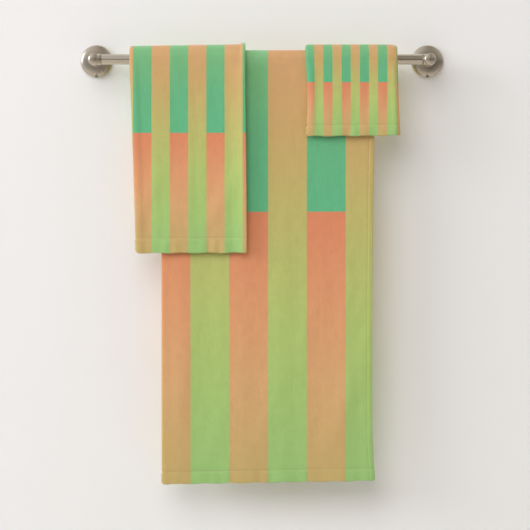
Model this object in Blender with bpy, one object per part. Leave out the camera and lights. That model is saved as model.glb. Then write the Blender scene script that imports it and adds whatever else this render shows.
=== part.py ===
"""Bath towel set on a wall-mounted rail: a bath towel folded lengthwise over the bar,
with a hand towel and a wash cloth laid over it, and the rail that carries them.

Metres, +Z up. The origin lies on the wall, midway between the two flanges, at the height
of the bar's axis. The wall is the plane y = 0 and the room is on the -Y side.
"""

import math

import bmesh
import bpy
from mathutils import Matrix, Vector

# Rail
RAIL_SPAN = 0.600  # between the centres of the two flanges
BAR_DIAMETER = 0.0186
BAR_WALL = 0.0012
BAR_STANDOFF = 0.070  # from the wall to the bar's axis
FIT_GAP = 0.0003  # clearance left between any two pieces that touch

# Posts, one at each end of the bar
POST_PROUD = 0.0015  # how far the post's radius stands past the bar's
POST_NOSE = 0.0045  # height of the post's domed front end
SOCKET_LIP = 0.0008  # how far the socket boss's radius stands past the bar's
SOCKET_PROUD = 0.0007  # how far the socket's mouth stands past the post's side
SPIGOT_DIAMETER = 0.0120
SPIGOT_LENGTH = 0.0085
PLUG_LENGTH = 0.0140  # inside the tube
COLLAR_THICKNESS = 0.0012

# Flanges and the brackets that hold them to the wall
FLANGE_DIAMETER = 0.058
FLANGE_WALL = 0.0018
FLANGE_RIM = 0.0068  # height of the straight side
FLANGE_DEPTH = 0.0115  # from the wall to the post's seat
FLANGE_ROUND = 0.0030  # radius of the shoulder between side and face
SEAT_MARGIN = 0.0012  # how far the flat seat reaches past the post
BRACKET_CLEARANCE = 0.0008
BRACKET_PLATE = 0.0022
BRACKET_RING_WALL = 0.0026
BRACKET_BORE_RADIUS = 0.0062

# Fasteners
POST_SCREW_DIAMETER = 0.0046
POST_SCREW_HEAD_RADIUS = 0.0044
POST_SCREW_HEAD = 0.0026
POST_SCREW_GRIP = 0.0125  # length of screw inside the post
GRUB_DIAMETER = 0.0040
GRUB_LENGTH = 0.0050
GRUB_HEX = 0.0020
WALL_SCREW_DIAMETER = 0.0040
WALL_SCREW_HEAD_RADIUS = 0.0038
WALL_SCREW_HEAD = 0.0024
WALL_SCREW_LENGTH = 0.035
WALL_SCREW_SPREAD = 0.028  # between the two screws of a bracket
ANCHOR_DIAMETER = 0.0080
ANCHOR_LENGTH = 0.030
ANCHOR_RIBS = 4
RIB_DEPTH = 0.0005

# Towels, each folded in half lengthwise, so its width here is half the cloth's
BATH_WIDTH = 0.381
BATH_CENTRE = 0.0102
BATH_THICKNESS = 0.0070
BATH_FRONT_DROP = 0.7605
BATH_LENGTH = 1.524
HAND_WIDTH = 0.203
HAND_CENTRE = -0.1288
HAND_THICKNESS = 0.0088
HAND_FRONT_DROP = 0.3460
HAND_LENGTH = 0.711
WASH_WIDTH = 0.165
WASH_CENTRE = 0.1622
WASH_THICKNESS = 0.0100
WASH_FRONT_DROP = 0.1380
WASH_LENGTH = 0.330
CLOTH_EDGE_ROUND = 0.0024

ROUND_STEPS = 32
SMALL_ROUND_STEPS = 16
OVER_BAR_STEPS = 16

BAR_RADIUS = BAR_DIAMETER / 2
POST_RADIUS = BAR_RADIUS + POST_PROUD
SOCKET_REACH = POST_RADIUS + SOCKET_PROUD  # from the post's axis to the socket's mouth
COLLAR_RADIUS = BAR_RADIUS + SOCKET_LIP / 2
FLANGE_RADIUS = FLANGE_DIAMETER / 2
SEAT_RADIUS = POST_RADIUS + SEAT_MARGIN
POST_BASE = FLANGE_DEPTH + FIT_GAP
POST_FRONT = BAR_STANDOFF + POST_RADIUS + FIT_GAP  # where the dome starts
GRUB_DEPTH = BRACKET_PLATE + GRUB_DIAMETER / 2 + 1.5 * FIT_GAP  # from the wall to its axis
TOWARD_ROOM = Matrix.Rotation(math.pi / 2, 4, "X")
TOWARD_WALL = Matrix.Rotation(-math.pi / 2, 4, "X")
ALONG_X = Matrix.Rotation(math.pi / 2, 4, "Y")
SIDES = (("left", -1), ("right", 1))


def clear_scene():
    for obj in list(bpy.data.objects):
        bpy.data.objects.remove(obj, do_unlink=True)


def make_material(name, colour, roughness, metallic=0.0):
    material = bpy.data.materials.new(name)
    material.use_nodes = True
    shader = material.node_tree.nodes["Principled BSDF"]
    shader.inputs["Base Color"].default_value = (*colour, 1.0)
    shader.inputs["Roughness"].default_value = roughness
    shader.inputs["Metallic"].default_value = metallic
    material.diffuse_color = (*colour, 1.0)
    return material


def add_object(name, mesh, material, location=(0, 0, 0), turn=None):
    """Links a mesh as an object at a location, turned so that its own +Z points along the turn."""
    mesh.materials.append(material)
    obj = bpy.data.objects.new(name, mesh)
    obj.matrix_world = Matrix.Translation(Vector(location)) @ (turn or Matrix.Identity(4))
    bpy.context.scene.collection.objects.link(obj)
    return obj


def arc(centre, radius, start, end, steps):
    """Points on an arc about centre, from the start angle to the end angle in degrees."""
    points = []
    for step in range(steps + 1):
        angle = math.radians(start + (end - start) * step / steps)
        points.append((centre[0] + radius[0] * math.cos(angle), centre[1] + radius[1] * math.sin(angle)))
    return points


def turned_mesh(name, profile, steps=ROUND_STEPS):
    """Turns a closed outline of (radius, height) points about +Z."""
    shape = bmesh.new()
    ring = [shape.verts.new((radius, 0, height)) for radius, height in profile]
    edges = [shape.edges.new((ring[i - 1], ring[i])) for i in range(len(ring))]
    on_axis = [e for e in edges if all(v.co.x < 1e-9 for v in e.verts)]
    turning = [e for e in edges if e not in on_axis]
    bmesh.ops.spin(
        shape,
        geom=ring + turning,
        cent=(0, 0, 0),
        axis=(0, 0, 1),
        angle=2 * math.pi,
        steps=steps,
        use_duplicate=False,
    )
    bmesh.ops.remove_doubles(shape, verts=shape.verts, dist=1e-6)
    loose = [e for e in shape.edges if not e.link_faces]
    bmesh.ops.delete(shape, geom=loose, context="EDGES")
    bmesh.ops.recalc_face_normals(shape, faces=shape.faces)
    mesh = bpy.data.meshes.new(name)
    shape.to_mesh(mesh)
    shape.free()
    mesh.shade_smooth()
    mesh.set_sharp_from_angle(angle=math.radians(30))
    return mesh


def cutter(name, mesh, matrix):
    """A helper that shapes another piece and isn't part of the object."""
    obj = bpy.data.objects.new(name, mesh)
    obj.matrix_world = matrix
    obj.hide_render = True
    obj.display_type = "WIRE"
    bpy.context.scene.collection.objects.link(obj)
    return obj


def boolean(obj, helper, operation="DIFFERENCE"):
    modifier = obj.modifiers.new(helper.name, "BOOLEAN")
    modifier.operation = operation
    modifier.solver = "EXACT"
    modifier.object = helper


def rod_mesh(name, radius, length, steps=SMALL_ROUND_STEPS):
    """A plain cylinder from z = 0 to z = length."""
    return turned_mesh(name, [(0, 0), (radius, 0), (radius, length), (0, length)], steps)


def hex_mesh(name, across_flats, length):
    return turned_mesh(
        name,
        [(0, 0), (across_flats / math.sqrt(3), 0), (across_flats / math.sqrt(3), length), (0, length)],
        6,
    )


def make_bar_tube(steel):
    """The round tube between the two collars."""
    half = RAIL_SPAN / 2 - SOCKET_REACH - FIT_GAP - COLLAR_THICKNESS - FIT_GAP
    inner = BAR_RADIUS - BAR_WALL
    profile = [(inner, -half), (BAR_RADIUS, -half), (BAR_RADIUS, half), (inner, half)]
    add_object("bar_tube", turned_mesh("bar_tube", profile), steel, (0, -BAR_STANDOFF, 0), ALONG_X)


def make_bar_plug(side, sign, steel):
    """Turned end piece: a plug inside the tube, a thin collar that shows, and a spigot in the post."""
    plug_radius = BAR_RADIUS - BAR_WALL - FIT_GAP
    spigot_radius = SPIGOT_DIAMETER / 2
    collar_top = COLLAR_THICKNESS
    profile = [
        (0, -PLUG_LENGTH),
        (plug_radius, -PLUG_LENGTH),
        (plug_radius, 0),
        (COLLAR_RADIUS, 0),
        (COLLAR_RADIUS, collar_top),
        (spigot_radius, collar_top),
        (spigot_radius, collar_top + SPIGOT_LENGTH),
        (0, collar_top + SPIGOT_LENGTH),
    ]
    reach = RAIL_SPAN / 2 - SOCKET_REACH - FIT_GAP - COLLAR_THICKNESS
    outward = ALONG_X if sign > 0 else Matrix.Rotation(-math.pi / 2, 4, "Y")
    name = f"bar_plug_{side}"
    add_object(name, turned_mesh(name, profile), steel, (sign * reach, -BAR_STANDOFF, 0), outward)


def make_post(side, sign, steel):
    """Round post with a domed front, a socket boss for the bar and a tapped hole in its base."""
    screw_hole = POST_SCREW_DIAMETER / 2 + FIT_GAP
    hole_end = POST_BASE + POST_SCREW_GRIP + FIT_GAP
    dome = arc((0, POST_FRONT), (POST_RADIUS, POST_NOSE), 0, 90, 7)
    profile = [
        (screw_hole, POST_BASE),
        (POST_RADIUS, POST_BASE),
        *dome[:-1],
        (0, POST_FRONT + POST_NOSE),
        (0, hole_end),
        (screw_hole, hole_end),
    ]
    name = f"post_{side}"
    post = add_object(name, turned_mesh(name, profile), steel, (sign * RAIL_SPAN / 2, 0, 0), TOWARD_ROOM)
    inward = ALONG_X if sign < 0 else Matrix.Rotation(-math.pi / 2, 4, "Y")
    socket_centre = Matrix.Translation((sign * RAIL_SPAN / 2, -BAR_STANDOFF, 0)) @ inward
    boss = rod_mesh(f"{name}_boss", BAR_RADIUS + SOCKET_LIP, SOCKET_REACH, ROUND_STEPS)
    boolean(post, cutter(f"{name}_boss", boss, socket_centre), "UNION")
    depth = SPIGOT_LENGTH + FIT_GAP
    hole = rod_mesh(f"{name}_socket", SPIGOT_DIAMETER / 2 + FIT_GAP, depth + SOCKET_REACH, ROUND_STEPS)
    start = socket_centre @ Matrix.Translation((0, 0, SOCKET_REACH - depth))
    boolean(post, cutter(f"{name}_socket", hole, start))


def make_flange(side, sign, steel):
    """Domed cover plate: a shell with a hole for the post's screw and one in its rim for the grub screw."""
    inner = FLANGE_RADIUS - FLANGE_WALL
    round_inner = FLANGE_ROUND - FLANGE_WALL
    shoulder = FLANGE_RADIUS - FLANGE_ROUND
    crown = FLANGE_RIM + FLANGE_ROUND
    hole = POST_SCREW_DIAMETER / 2 + FIT_GAP
    profile = [
        (inner, 0),
        (FLANGE_RADIUS, 0),
        *arc((shoulder, FLANGE_RIM), (FLANGE_ROUND, FLANGE_ROUND), 0, 80, 4),
        ((shoulder + SEAT_RADIUS) / 2, (crown + FLANGE_DEPTH) / 2 + 0.0004),
        (SEAT_RADIUS, FLANGE_DEPTH),
        (hole, FLANGE_DEPTH),
        (hole, FLANGE_DEPTH - FLANGE_WALL),
        (SEAT_RADIUS, FLANGE_DEPTH - FLANGE_WALL),
        *arc((shoulder, FLANGE_RIM), (round_inner, round_inner), 80, 0, 2),
    ]
    name = f"flange_{side}"
    flange = add_object(name, turned_mesh(name, profile), steel, (sign * RAIL_SPAN / 2, 0, 0), TOWARD_ROOM)
    hole = rod_mesh(f"{name}_hole", GRUB_DIAMETER / 2 + FIT_GAP, FLANGE_RADIUS)
    below = (sign * RAIL_SPAN / 2, -GRUB_DEPTH, -FLANGE_RADIUS * 1.5)
    boolean(flange, cutter(f"{name}_hole", hole, Matrix.Translation(below)))


def make_bracket(side, sign, zinc):
    """Plate screwed to the wall, with a raised ring that the flange covers and the grub screw locks into."""
    outer = FLANGE_RADIUS - FLANGE_WALL - BRACKET_CLEARANCE
    inner = outer - BRACKET_RING_WALL
    top = GRUB_DEPTH + GRUB_DIAMETER / 2 + 2 * FIT_GAP
    profile = [
        (BRACKET_BORE_RADIUS, 0),
        (outer, 0),
        (outer, top),
        (inner, top),
        (inner, BRACKET_PLATE),
        (BRACKET_BORE_RADIUS, BRACKET_PLATE),
    ]
    name = f"bracket_{side}"
    bracket = add_object(name, turned_mesh(name, profile), zinc, (sign * RAIL_SPAN / 2, 0, 0), TOWARD_ROOM)
    grub_hole = rod_mesh(f"{name}_grub", GRUB_DIAMETER / 2 + FIT_GAP, FLANGE_RADIUS)
    below = (sign * RAIL_SPAN / 2, -GRUB_DEPTH, -FLANGE_RADIUS * 1.5)
    boolean(bracket, cutter(f"{name}_grub", grub_hole, Matrix.Translation(below)))
    for height in (1, -1):
        hole = rod_mesh(f"{name}_screw", WALL_SCREW_DIAMETER / 2 + FIT_GAP, 4 * BRACKET_PLATE)
        place = (sign * RAIL_SPAN / 2, 2 * BRACKET_PLATE, height * WALL_SCREW_SPREAD / 2)
        boolean(bracket, cutter(f"{name}_screw_{height}", hole, Matrix.Translation(place) @ TOWARD_ROOM))


def make_post_screw(side, sign, zinc):
    """Screw from inside the flange into the post's base, with a hexagon socket in its head."""
    shank = POST_SCREW_DIAMETER / 2
    under_head = FLANGE_DEPTH - FLANGE_WALL - FIT_GAP
    head = under_head - POST_SCREW_HEAD
    tip = POST_BASE + POST_SCREW_GRIP
    profile = [
        (0, head),
        (POST_SCREW_HEAD_RADIUS, head),
        (POST_SCREW_HEAD_RADIUS, under_head),
        (shank, under_head),
        (shank, tip - shank / 2),
        (shank / 2, tip),
        (0, tip),
    ]
    name = f"post_screw_{side}"
    place = Matrix.Translation((sign * RAIL_SPAN / 2, 0, 0)) @ TOWARD_ROOM
    screw = add_object(name, turned_mesh(name, profile, SMALL_ROUND_STEPS), zinc)
    screw.matrix_world = place
    socket = hex_mesh(f"{name}_hex", POST_SCREW_HEAD_RADIUS, POST_SCREW_HEAD)
    sunk = Matrix.Translation((0, 0, head - POST_SCREW_HEAD / 3))
    boolean(screw, cutter(f"{name}_hex", socket, place @ sunk))


def make_grub_screw(side, sign, steel):
    """Small headless screw in the bottom of the flange's rim, its hexagon socket facing down."""
    radius = GRUB_DIAMETER / 2
    outer_end = FLANGE_RADIUS - FLANGE_WALL / 4
    profile = [
        (0, 0),
        (radius, 0),
        (radius, GRUB_LENGTH - radius / 2),
        (radius / 2, GRUB_LENGTH),
        (0, GRUB_LENGTH),
    ]
    name = f"grub_screw_{side}"
    place = Matrix.Translation((sign * RAIL_SPAN / 2, -GRUB_DEPTH, -outer_end))
    screw = add_object(name, turned_mesh(name, profile, SMALL_ROUND_STEPS), steel)
    screw.matrix_world = place
    socket = hex_mesh(f"{name}_hex", GRUB_HEX, 2 * GRUB_HEX)
    boolean(screw, cutter(f"{name}_hex", socket, place @ Matrix.Translation((0, 0, -GRUB_HEX))))


def make_wall_screw(name, x, z, zinc):
    """Pan-head screw through the bracket's plate into the wall anchor, its own +Z into the wall."""
    shank = WALL_SCREW_DIAMETER / 2
    head_base = -(BRACKET_PLATE + FIT_GAP)
    rounding = WALL_SCREW_HEAD / 3
    tip = head_base + WALL_SCREW_LENGTH
    profile = [
        (0, head_base - WALL_SCREW_HEAD),
        (WALL_SCREW_HEAD_RADIUS - rounding, head_base - WALL_SCREW_HEAD),
        (WALL_SCREW_HEAD_RADIUS, head_base - WALL_SCREW_HEAD + rounding),
        (WALL_SCREW_HEAD_RADIUS, head_base),
        (shank, head_base),
        (shank, tip - 2 * shank),
        (0, tip),
    ]
    screw = add_object(name, turned_mesh(name, profile, SMALL_ROUND_STEPS), zinc, (x, 0, z), TOWARD_WALL)
    slot_width = WALL_SCREW_HEAD_RADIUS / 4
    slot_reach = WALL_SCREW_HEAD_RADIUS * 1.2
    for turn, (across, along) in enumerate(((slot_width, slot_reach), (slot_reach, slot_width))):
        slot = bmesh.new()
        bmesh.ops.create_cube(slot, size=1, matrix=Matrix.Diagonal((across, along, WALL_SCREW_HEAD, 1)))
        mesh = bpy.data.meshes.new(f"{name}_slot")
        slot.to_mesh(mesh)
        slot.free()
        place = Matrix.Translation((x, 0, z)) @ TOWARD_WALL
        place = place @ Matrix.Translation((0, 0, head_base - WALL_SCREW_HEAD))
        boolean(screw, cutter(f"{name}_slot_{turn}", mesh, place))


def make_wall_anchor(name, x, z, nylon):
    """Ribbed sleeve in the wall around the screw, open at both ends, its own +Z into the wall."""
    outer = ANCHOR_DIAMETER / 2
    bore = WALL_SCREW_DIAMETER / 2 + FIT_GAP
    profile = [(bore, FIT_GAP), (outer, FIT_GAP)]
    rib_pitch = (ANCHOR_LENGTH - outer) / ANCHOR_RIBS
    for rib in range(ANCHOR_RIBS):
        foot = outer + rib * rib_pitch
        crest = foot + rib_pitch * 0.85
        profile += [(outer, foot), (outer - RIB_DEPTH, foot + rib_pitch / 8), (outer, crest)]
    profile += [(outer - RIB_DEPTH, ANCHOR_LENGTH), (bore, ANCHOR_LENGTH)]
    add_object(name, turned_mesh(name, profile, SMALL_ROUND_STEPS), nylon, (x, 0, z), TOWARD_WALL)


def back_drop(length, front_drop, inner_radius, thickness):
    """What hangs behind the bar: the cloth's length less the front and the half turn over the bar."""
    return length - front_drop - math.pi * (inner_radius + thickness / 2)


def make_towel(name, width, centre, inner_radius, thickness, front_drop, length, cloth):
    """A folded towel over the bar: an outline like a hairpin in the YZ plane, carried along X."""
    back = back_drop(length, front_drop, inner_radius, thickness)
    outer_radius = inner_radius + thickness
    outline = [(-outer_radius, -front_drop)]
    outline += arc((0, 0), (outer_radius, outer_radius), 180, 0, OVER_BAR_STEPS)
    outline += [(outer_radius, -back), (inner_radius, -back)]
    outline += arc((0, 0), (inner_radius, inner_radius), 0, 180, OVER_BAR_STEPS)
    outline += [(-inner_radius, -front_drop)]
    shape = bmesh.new()
    ring = [shape.verts.new((-width / 2, y, z)) for y, z in outline]
    face = shape.faces.new(ring)
    swept = bmesh.ops.extrude_face_region(shape, geom=[face])["geom"]
    moved = [v for v in swept if isinstance(v, bmesh.types.BMVert)]
    bmesh.ops.translate(shape, verts=moved, vec=(width, 0, 0))
    bmesh.ops.recalc_face_normals(shape, faces=shape.faces)
    mesh = bpy.data.meshes.new(name)
    shape.to_mesh(mesh)
    shape.free()
    towel = add_object(name, mesh, cloth, (centre, -BAR_STANDOFF, 0))
    bevel = towel.modifiers.new("soft_edges", "BEVEL")
    bevel.width = CLOTH_EDGE_ROUND
    bevel.segments = 2
    bevel.limit_method = "ANGLE"
    bevel.angle_limit = math.radians(50)
    return inner_radius + thickness


def main():
    clear_scene()
    nickel = make_material("brushed_nickel", (0.50, 0.45, 0.38), 0.32, 1.0)
    zinc = make_material("zinc_plated_steel", (0.62, 0.62, 0.64), 0.40, 1.0)
    nylon = make_material("grey_nylon", (0.45, 0.46, 0.47), 0.55)
    bath_cloth = make_material("bath_towel_print", (0.55, 0.50, 0.17), 0.90)
    hand_cloth = make_material("hand_towel_print", (0.55, 0.40, 0.17), 0.90)
    wash_cloth = make_material("wash_cloth_print", (0.35, 0.52, 0.20), 0.90)

    make_bar_tube(nickel)
    for side, sign in SIDES:
        make_bar_plug(side, sign, nickel)
        make_post(side, sign, nickel)
        make_flange(side, sign, nickel)
        make_bracket(side, sign, zinc)
        make_post_screw(side, sign, zinc)
        make_grub_screw(side, sign, nickel)
        for level, height in (("upper", 1), ("lower", -1)):
            x, z = sign * RAIL_SPAN / 2, height * WALL_SCREW_SPREAD / 2
            make_wall_screw(f"wall_screw_{side}_{level}", x, z, zinc)
            make_wall_anchor(f"wall_anchor_{side}_{level}", x, z, nylon)

    bath_top = make_towel(
        "bath_towel", BATH_WIDTH, BATH_CENTRE, BAR_RADIUS + FIT_GAP,
        BATH_THICKNESS, BATH_FRONT_DROP, BATH_LENGTH, bath_cloth,
    )
    make_towel(
        "hand_towel", HAND_WIDTH, HAND_CENTRE, bath_top + FIT_GAP,
        HAND_THICKNESS, HAND_FRONT_DROP, HAND_LENGTH, hand_cloth,
    )
    make_towel(
        "wash_cloth", WASH_WIDTH, WASH_CENTRE, bath_top + FIT_GAP,
        WASH_THICKNESS, WASH_FRONT_DROP, WASH_LENGTH, wash_cloth,
    )


main()
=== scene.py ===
import math

import bmesh
import bpy
import numpy as np
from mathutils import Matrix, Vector


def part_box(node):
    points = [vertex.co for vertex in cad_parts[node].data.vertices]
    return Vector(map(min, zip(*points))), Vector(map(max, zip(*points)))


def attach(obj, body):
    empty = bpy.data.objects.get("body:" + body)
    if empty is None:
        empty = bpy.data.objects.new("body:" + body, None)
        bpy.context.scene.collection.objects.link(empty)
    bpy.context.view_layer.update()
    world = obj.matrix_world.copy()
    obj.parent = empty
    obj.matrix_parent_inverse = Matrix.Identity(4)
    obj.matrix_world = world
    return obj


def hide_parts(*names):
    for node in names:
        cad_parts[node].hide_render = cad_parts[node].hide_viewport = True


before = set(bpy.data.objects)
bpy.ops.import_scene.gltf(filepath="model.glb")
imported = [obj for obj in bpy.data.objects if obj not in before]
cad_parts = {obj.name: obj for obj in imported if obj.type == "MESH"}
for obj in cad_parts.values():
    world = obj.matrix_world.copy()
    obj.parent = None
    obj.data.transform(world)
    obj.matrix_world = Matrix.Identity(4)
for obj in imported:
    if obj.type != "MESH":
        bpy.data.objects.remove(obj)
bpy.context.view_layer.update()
print("frame loaded")


def linear(hexColour, alpha=1.0):
    # A colour written as sRGB hex, turned to the linear values that shaders take.
    srgb = np.array([int(hexColour[i:i + 2], 16) for i in (1, 3, 5)]) / 255
    flat = np.where(srgb <= 0.04045, srgb / 12.92, ((srgb + 0.055) / 1.055) ** 2.4)
    return (*[float(c) for c in flat], alpha)


def setInputs(tree, node, inputs):
    # Links each input to the socket given for it, or gives it the value.
    for name, value in inputs.items():
        if isinstance(value, bpy.types.NodeSocket):
            tree.links.new(value, node.inputs[name])
        else:
            node.inputs[name].default_value = value


def addNode(tree, kind, inputs=None, stops=(), **settings):
    # Adds a shader node with its settings, inputs, links and colour stops, and gives back its outputs.
    node = tree.nodes.new("ShaderNode" + kind)
    for name, value in settings.items():
        setattr(node, name, value)
    setInputs(tree, node, inputs or {})
    if stops:
        elements = node.color_ramp.elements
        while len(stops) > len(elements):
            elements.new(1.0)
        for element, (position, colour) in zip(elements, stops):
            element.position = position
            element.color = linear(colour)
    return node.outputs


def newMaterial(name, isCloth=False):
    # A new material, its tree, its shader, and where a point lies on the flat cloth or on the piece.
    material = bpy.data.materials.new(name)
    material.use_nodes = True
    tree = material.node_tree
    if isCloth:
        place = addNode(tree, "UVMap", uv_map="clothPlace")["UV"]
    else:
        place = addNode(tree, "TexCoord")["Object"]
    return material, tree, tree.nodes["Principled BSDF"], place


def newObject(name, data):
    made = bpy.data.objects.new(name, data)
    bpy.context.scene.collection.objects.link(made)
    return made


def smoothStep(values, low, high):
    # Rises smoothly from 0 to 1 between low and high: three times the share squared, less twice its cube.
    t = np.clip((values - low) / (high - low), 0, 1)
    return t * t * (3 - 2 * t)


# Towels. A towel is one cloth, folded in half lengthwise and laid over the bar.

clothSettings = {  # what the three towels share, in metres
    "gapToBar": 0.0004,
    "gapToTowel": 0.0011,
    "foldInset": 0.0016,  # the fold's middle lies this far inside the box
    "edgeInset": 0.001,  # and so does the loose edge
    "innerShare": 0.988,  # the inner layer is this share of the outer one's width
    "dentSize": 0.055,
    "dentHeight": 0.00035,
    "puffPlace": 0.007,  # how far in from a side edge its soft bulge lies
    "puffWidth": 0.0055,
    "puckerLength": 0.031,
    "puckerDrift": 0.083,
    "puckerHeight": 0.0007,
    "hemStandOff": 0.0019,  # how far a hem stands off the towel that it lies on
    "hemWaveLength": 0.047,  # the bottom edge rises and falls
    "hemWaveHeight": 0.0006,
    "hemExtra": 0.00058,  # a hem's extra thickness on each face, and how far its stitch line sinks in
    "hemGroove": 0.00125,
    "hemGrooveWidth": 0.0019,
    "sideHemExtra": 0.0003,
    "sideGrooveWidth": 0.0013,
    "hemReach": 1.6,  # a hem's unevenness reaches this many hem widths up
    "hemEdge": 0.0012,  # half the width over which the cloth thickens to it
    "sideHemEdge": 0.001,
    "crestFade": 0.09,  # how far down the crest's rise dies out
    "slopeStep": 0.0004,  # how far to each side a slope is measured
    "rimCount": 5,  # how many rows or columns there are round a rim, over a hem and over the bar
    "hemColumns": 12,
    "hemRows": 16,
    "barRows": 26,
    "marginAcross": 0.003,  # finer rows and columns start this far before a hem
    "marginAlong": 0.004,
}
bathSettings = {
    "node": "bath_towel",
    "slot": "bath_cloth",
    "flat": (0.762, 1.524),
    "ply": 0.0031,
    "hem": 0.0215,
    "sideHem": 0.0090,
    "leftEdge": (0.0, 0.0006, 0.0004),  # how far in from the box it lies, at top, middle and bottom
    "rightEdge": (-0.0034, 0.0020, 0.0012),
    "bottomFlare": 0.0038,  # the loose corner at the bottom right swings out
    "bottomRise": 0.0068,  # the right corner hangs this much higher
    "crestRise": (0.0, 0.0, 0.0),
    "cornerRise": 0.0,
    "cornerRound": 0.0045,
    "edgePuff": 0.0003,
    "creases": (  # soft ridges: start x and z, end x and z, width, height
        (-0.036, -0.360, -0.036, 0.050, 0.034, 0.0042),
        (0.118, -0.700, 0.185, -0.520, 0.020, 0.0022),
        (-0.020, -0.740, 0.030, -0.560, 0.022, 0.0016),
        (-0.150, -0.640, -0.128, -0.470, 0.018, 0.0014),
        (0.060, -0.560, 0.105, -0.400, 0.018, 0.0013),
        (-0.100, -0.730, -0.070, -0.640, 0.014, 0.0012),
    ),
    "waves": 0.0016,
    "curl": (0.0012, 0.016),  # how far the loose edge turns in (below zero, out), and over what width
    "sideGroove": 0.0006,
    "seed": 3,
    "columns": (70, 10, 46),  # on the front layer, round the fold and on the inner layer
    "rows": 250,
    "stripe": 0.06935,
    "firstStripe": 0.0507,  # where the first line between two stripes lies, from the left
    "firstIsPlain": False,  # whether the stripe before that line is a plain one
    "switchHeight": -0.2727,  # where the banded stripes change sharply from teal to coral
}
handSettings = {
    "node": "hand_towel",
    "slot": "hand_cloth",
    "flat": (0.406, 0.711),
    "ply": 0.0033,
    "hem": 0.0260,
    "sideHem": 0.0090,
    "leftEdge": (-0.0058, 0.0004, 0.0052),
    "rightEdge": (0.0013, -0.0004, -0.0018),
    "bottomFlare": 0.0,
    "bottomRise": 0.0006,
    "crestRise": (-0.0018, 0.0, 0.0012),
    "cornerRise": 0.0020,
    "cornerRound": 0.0048,
    "edgePuff": 0.0017,
    "creases": (
        (-0.102, -0.305, -0.039, -0.200, 0.015, 0.0017),
        (-0.226, -0.300, -0.190, -0.215, 0.013, 0.0015),
        (-0.160, -0.320, -0.150, -0.240, 0.012, 0.0008),
    ),
    "waves": 0.0010,
    "curl": (-0.0050, 0.034),
    "sideGroove": 0.0001,
    "seed": 8,
    "columns": (60, 12, 40),
    "rows": 170,
    "stripe": 0.0325,
    "firstStripe": -0.0002,
    "firstIsPlain": True,
    "switchHeight": -0.1318,
}
washSettings = {
    "node": "wash_cloth",
    "slot": "wash_cloth",
    "flat": (0.330, 0.330),
    "ply": 0.0034,
    "hem": 0.0190,
    "sideHem": 0.0080,
    "leftEdge": (-0.0022, 0.0010, -0.0018),
    "rightEdge": (0.0026, 0.0008, -0.0026),
    "bottomFlare": 0.0,
    "bottomRise": 0.0014,
    "crestRise": (-0.0002, 0.0, 0.0),
    "cornerRise": 0.0,
    "cornerRound": 0.0040,
    "edgePuff": 0.0018,
    "creases": (
        (0.104, -0.125, 0.118, -0.060, 0.010, 0.0007),
        (0.190, -0.130, 0.215, -0.050, 0.012, 0.0009),
    ),
    "waves": 0.0011,
    "curl": (0.0034, 0.016),
    "sideGroove": 0.0001,
    "seed": 14,
    "columns": (54, 12, 40),
    "rows": 110,
    "stripe": 0.0162,
    "firstStripe": 0.0117,
    "firstIsPlain": False,
    "switchHeight": -0.0417,
}


def ripples(x, z, seed, scale=1.0):
    # Soft upright folds: a sum of sines across x whose phase drifts with z, from -1 to 1.
    draw = np.random.default_rng(seed)
    total = np.zeros(np.broadcast(x, z).shape)
    for length, weight in ((0.165, 0.42), (0.094, 0.30), (0.058, 0.17), (0.037, 0.11)):
        phase, drift, bend = draw.uniform((0, -2.5, 0), (2 * math.pi, 2.5, 2 * math.pi))
        wander = 0.6 * np.sin(z / (0.21 * scale) + bend)
        total += weight * np.sin(2 * math.pi * x / (length * scale) + phase + drift * z + wander)
    return total


def dents(x, z, seed, size):
    # Unevenness of thick cloth: products of sines along two slanted directions, from -1 to 1.
    draw = np.random.default_rng(seed)
    total = np.zeros(np.broadcast(x, z).shape)
    for share in (1.0, 0.61, 0.38):
        angle, first, second = draw.uniform(0, math.pi), draw.uniform(0, 7), draw.uniform(0, 7)
        a = (x * math.cos(angle) + z * math.sin(angle)) / (size * share)
        b = (z * math.cos(angle) - x * math.sin(angle)) / (size * share * 1.3)
        total += share * np.sin(2 * math.pi * a + first) * np.sin(2 * math.pi * b + second)
    return total / 2


def threeKnots(values, share):
    # A smooth curve through three values at shares 0, 0.5 and 1 (a parabola).
    top, middle, bottom = values
    outer = top * (1 - share) * (1 - 2 * share) + bottom * share * (2 * share - 1)
    return outer + middle * 4 * share * (1 - share)


def halfDepth(node):
    # Half of a node's depth, which is how far it lies from the bar's axis over the crest.
    low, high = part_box(node)
    return (high.y - low.y) / 2


def towelSizes(settings):
    # Where the towel hangs, from its CAD node's box and from the bar or the towel beneath it.
    low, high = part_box(settings["node"])
    outer = halfDepth(settings["node"])
    inner = halfDepth("bath_towel") + clothSettings["gapToTowel"]
    if settings is bathSettings:
        inner = halfDepth("bar_tube") + clothSettings["gapToBar"]
    crest = (inner + outer) / 2
    frontLeg = -low.z
    return {
        "left": low.x,
        "width": high.x - low.x,
        "axisY": (low.y + high.y) / 2,
        "inner": inner,
        "crest": crest,
        "quarter": math.pi / 2 * crest,  # from the crest to where the cloth hangs, along it
        "foldRadius": (outer - inner - settings["ply"]) / 2,
        "front": frontLeg,
        "back": settings["flat"][1] - frontLeg - math.pi * crest,
    }


def underlay(x, down):
    # How far the bath towel's hanging halves stand out from plumb: its ripples, growing downwards, and its
    # creases. The other towels lie on it and follow.
    grow = smoothStep(down, 0.01, 0.45)
    slope = ripples(x, -down, bathSettings["seed"])
    return bathSettings["waves"] * grow * slope + ridges(bathSettings, x, -down)


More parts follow.
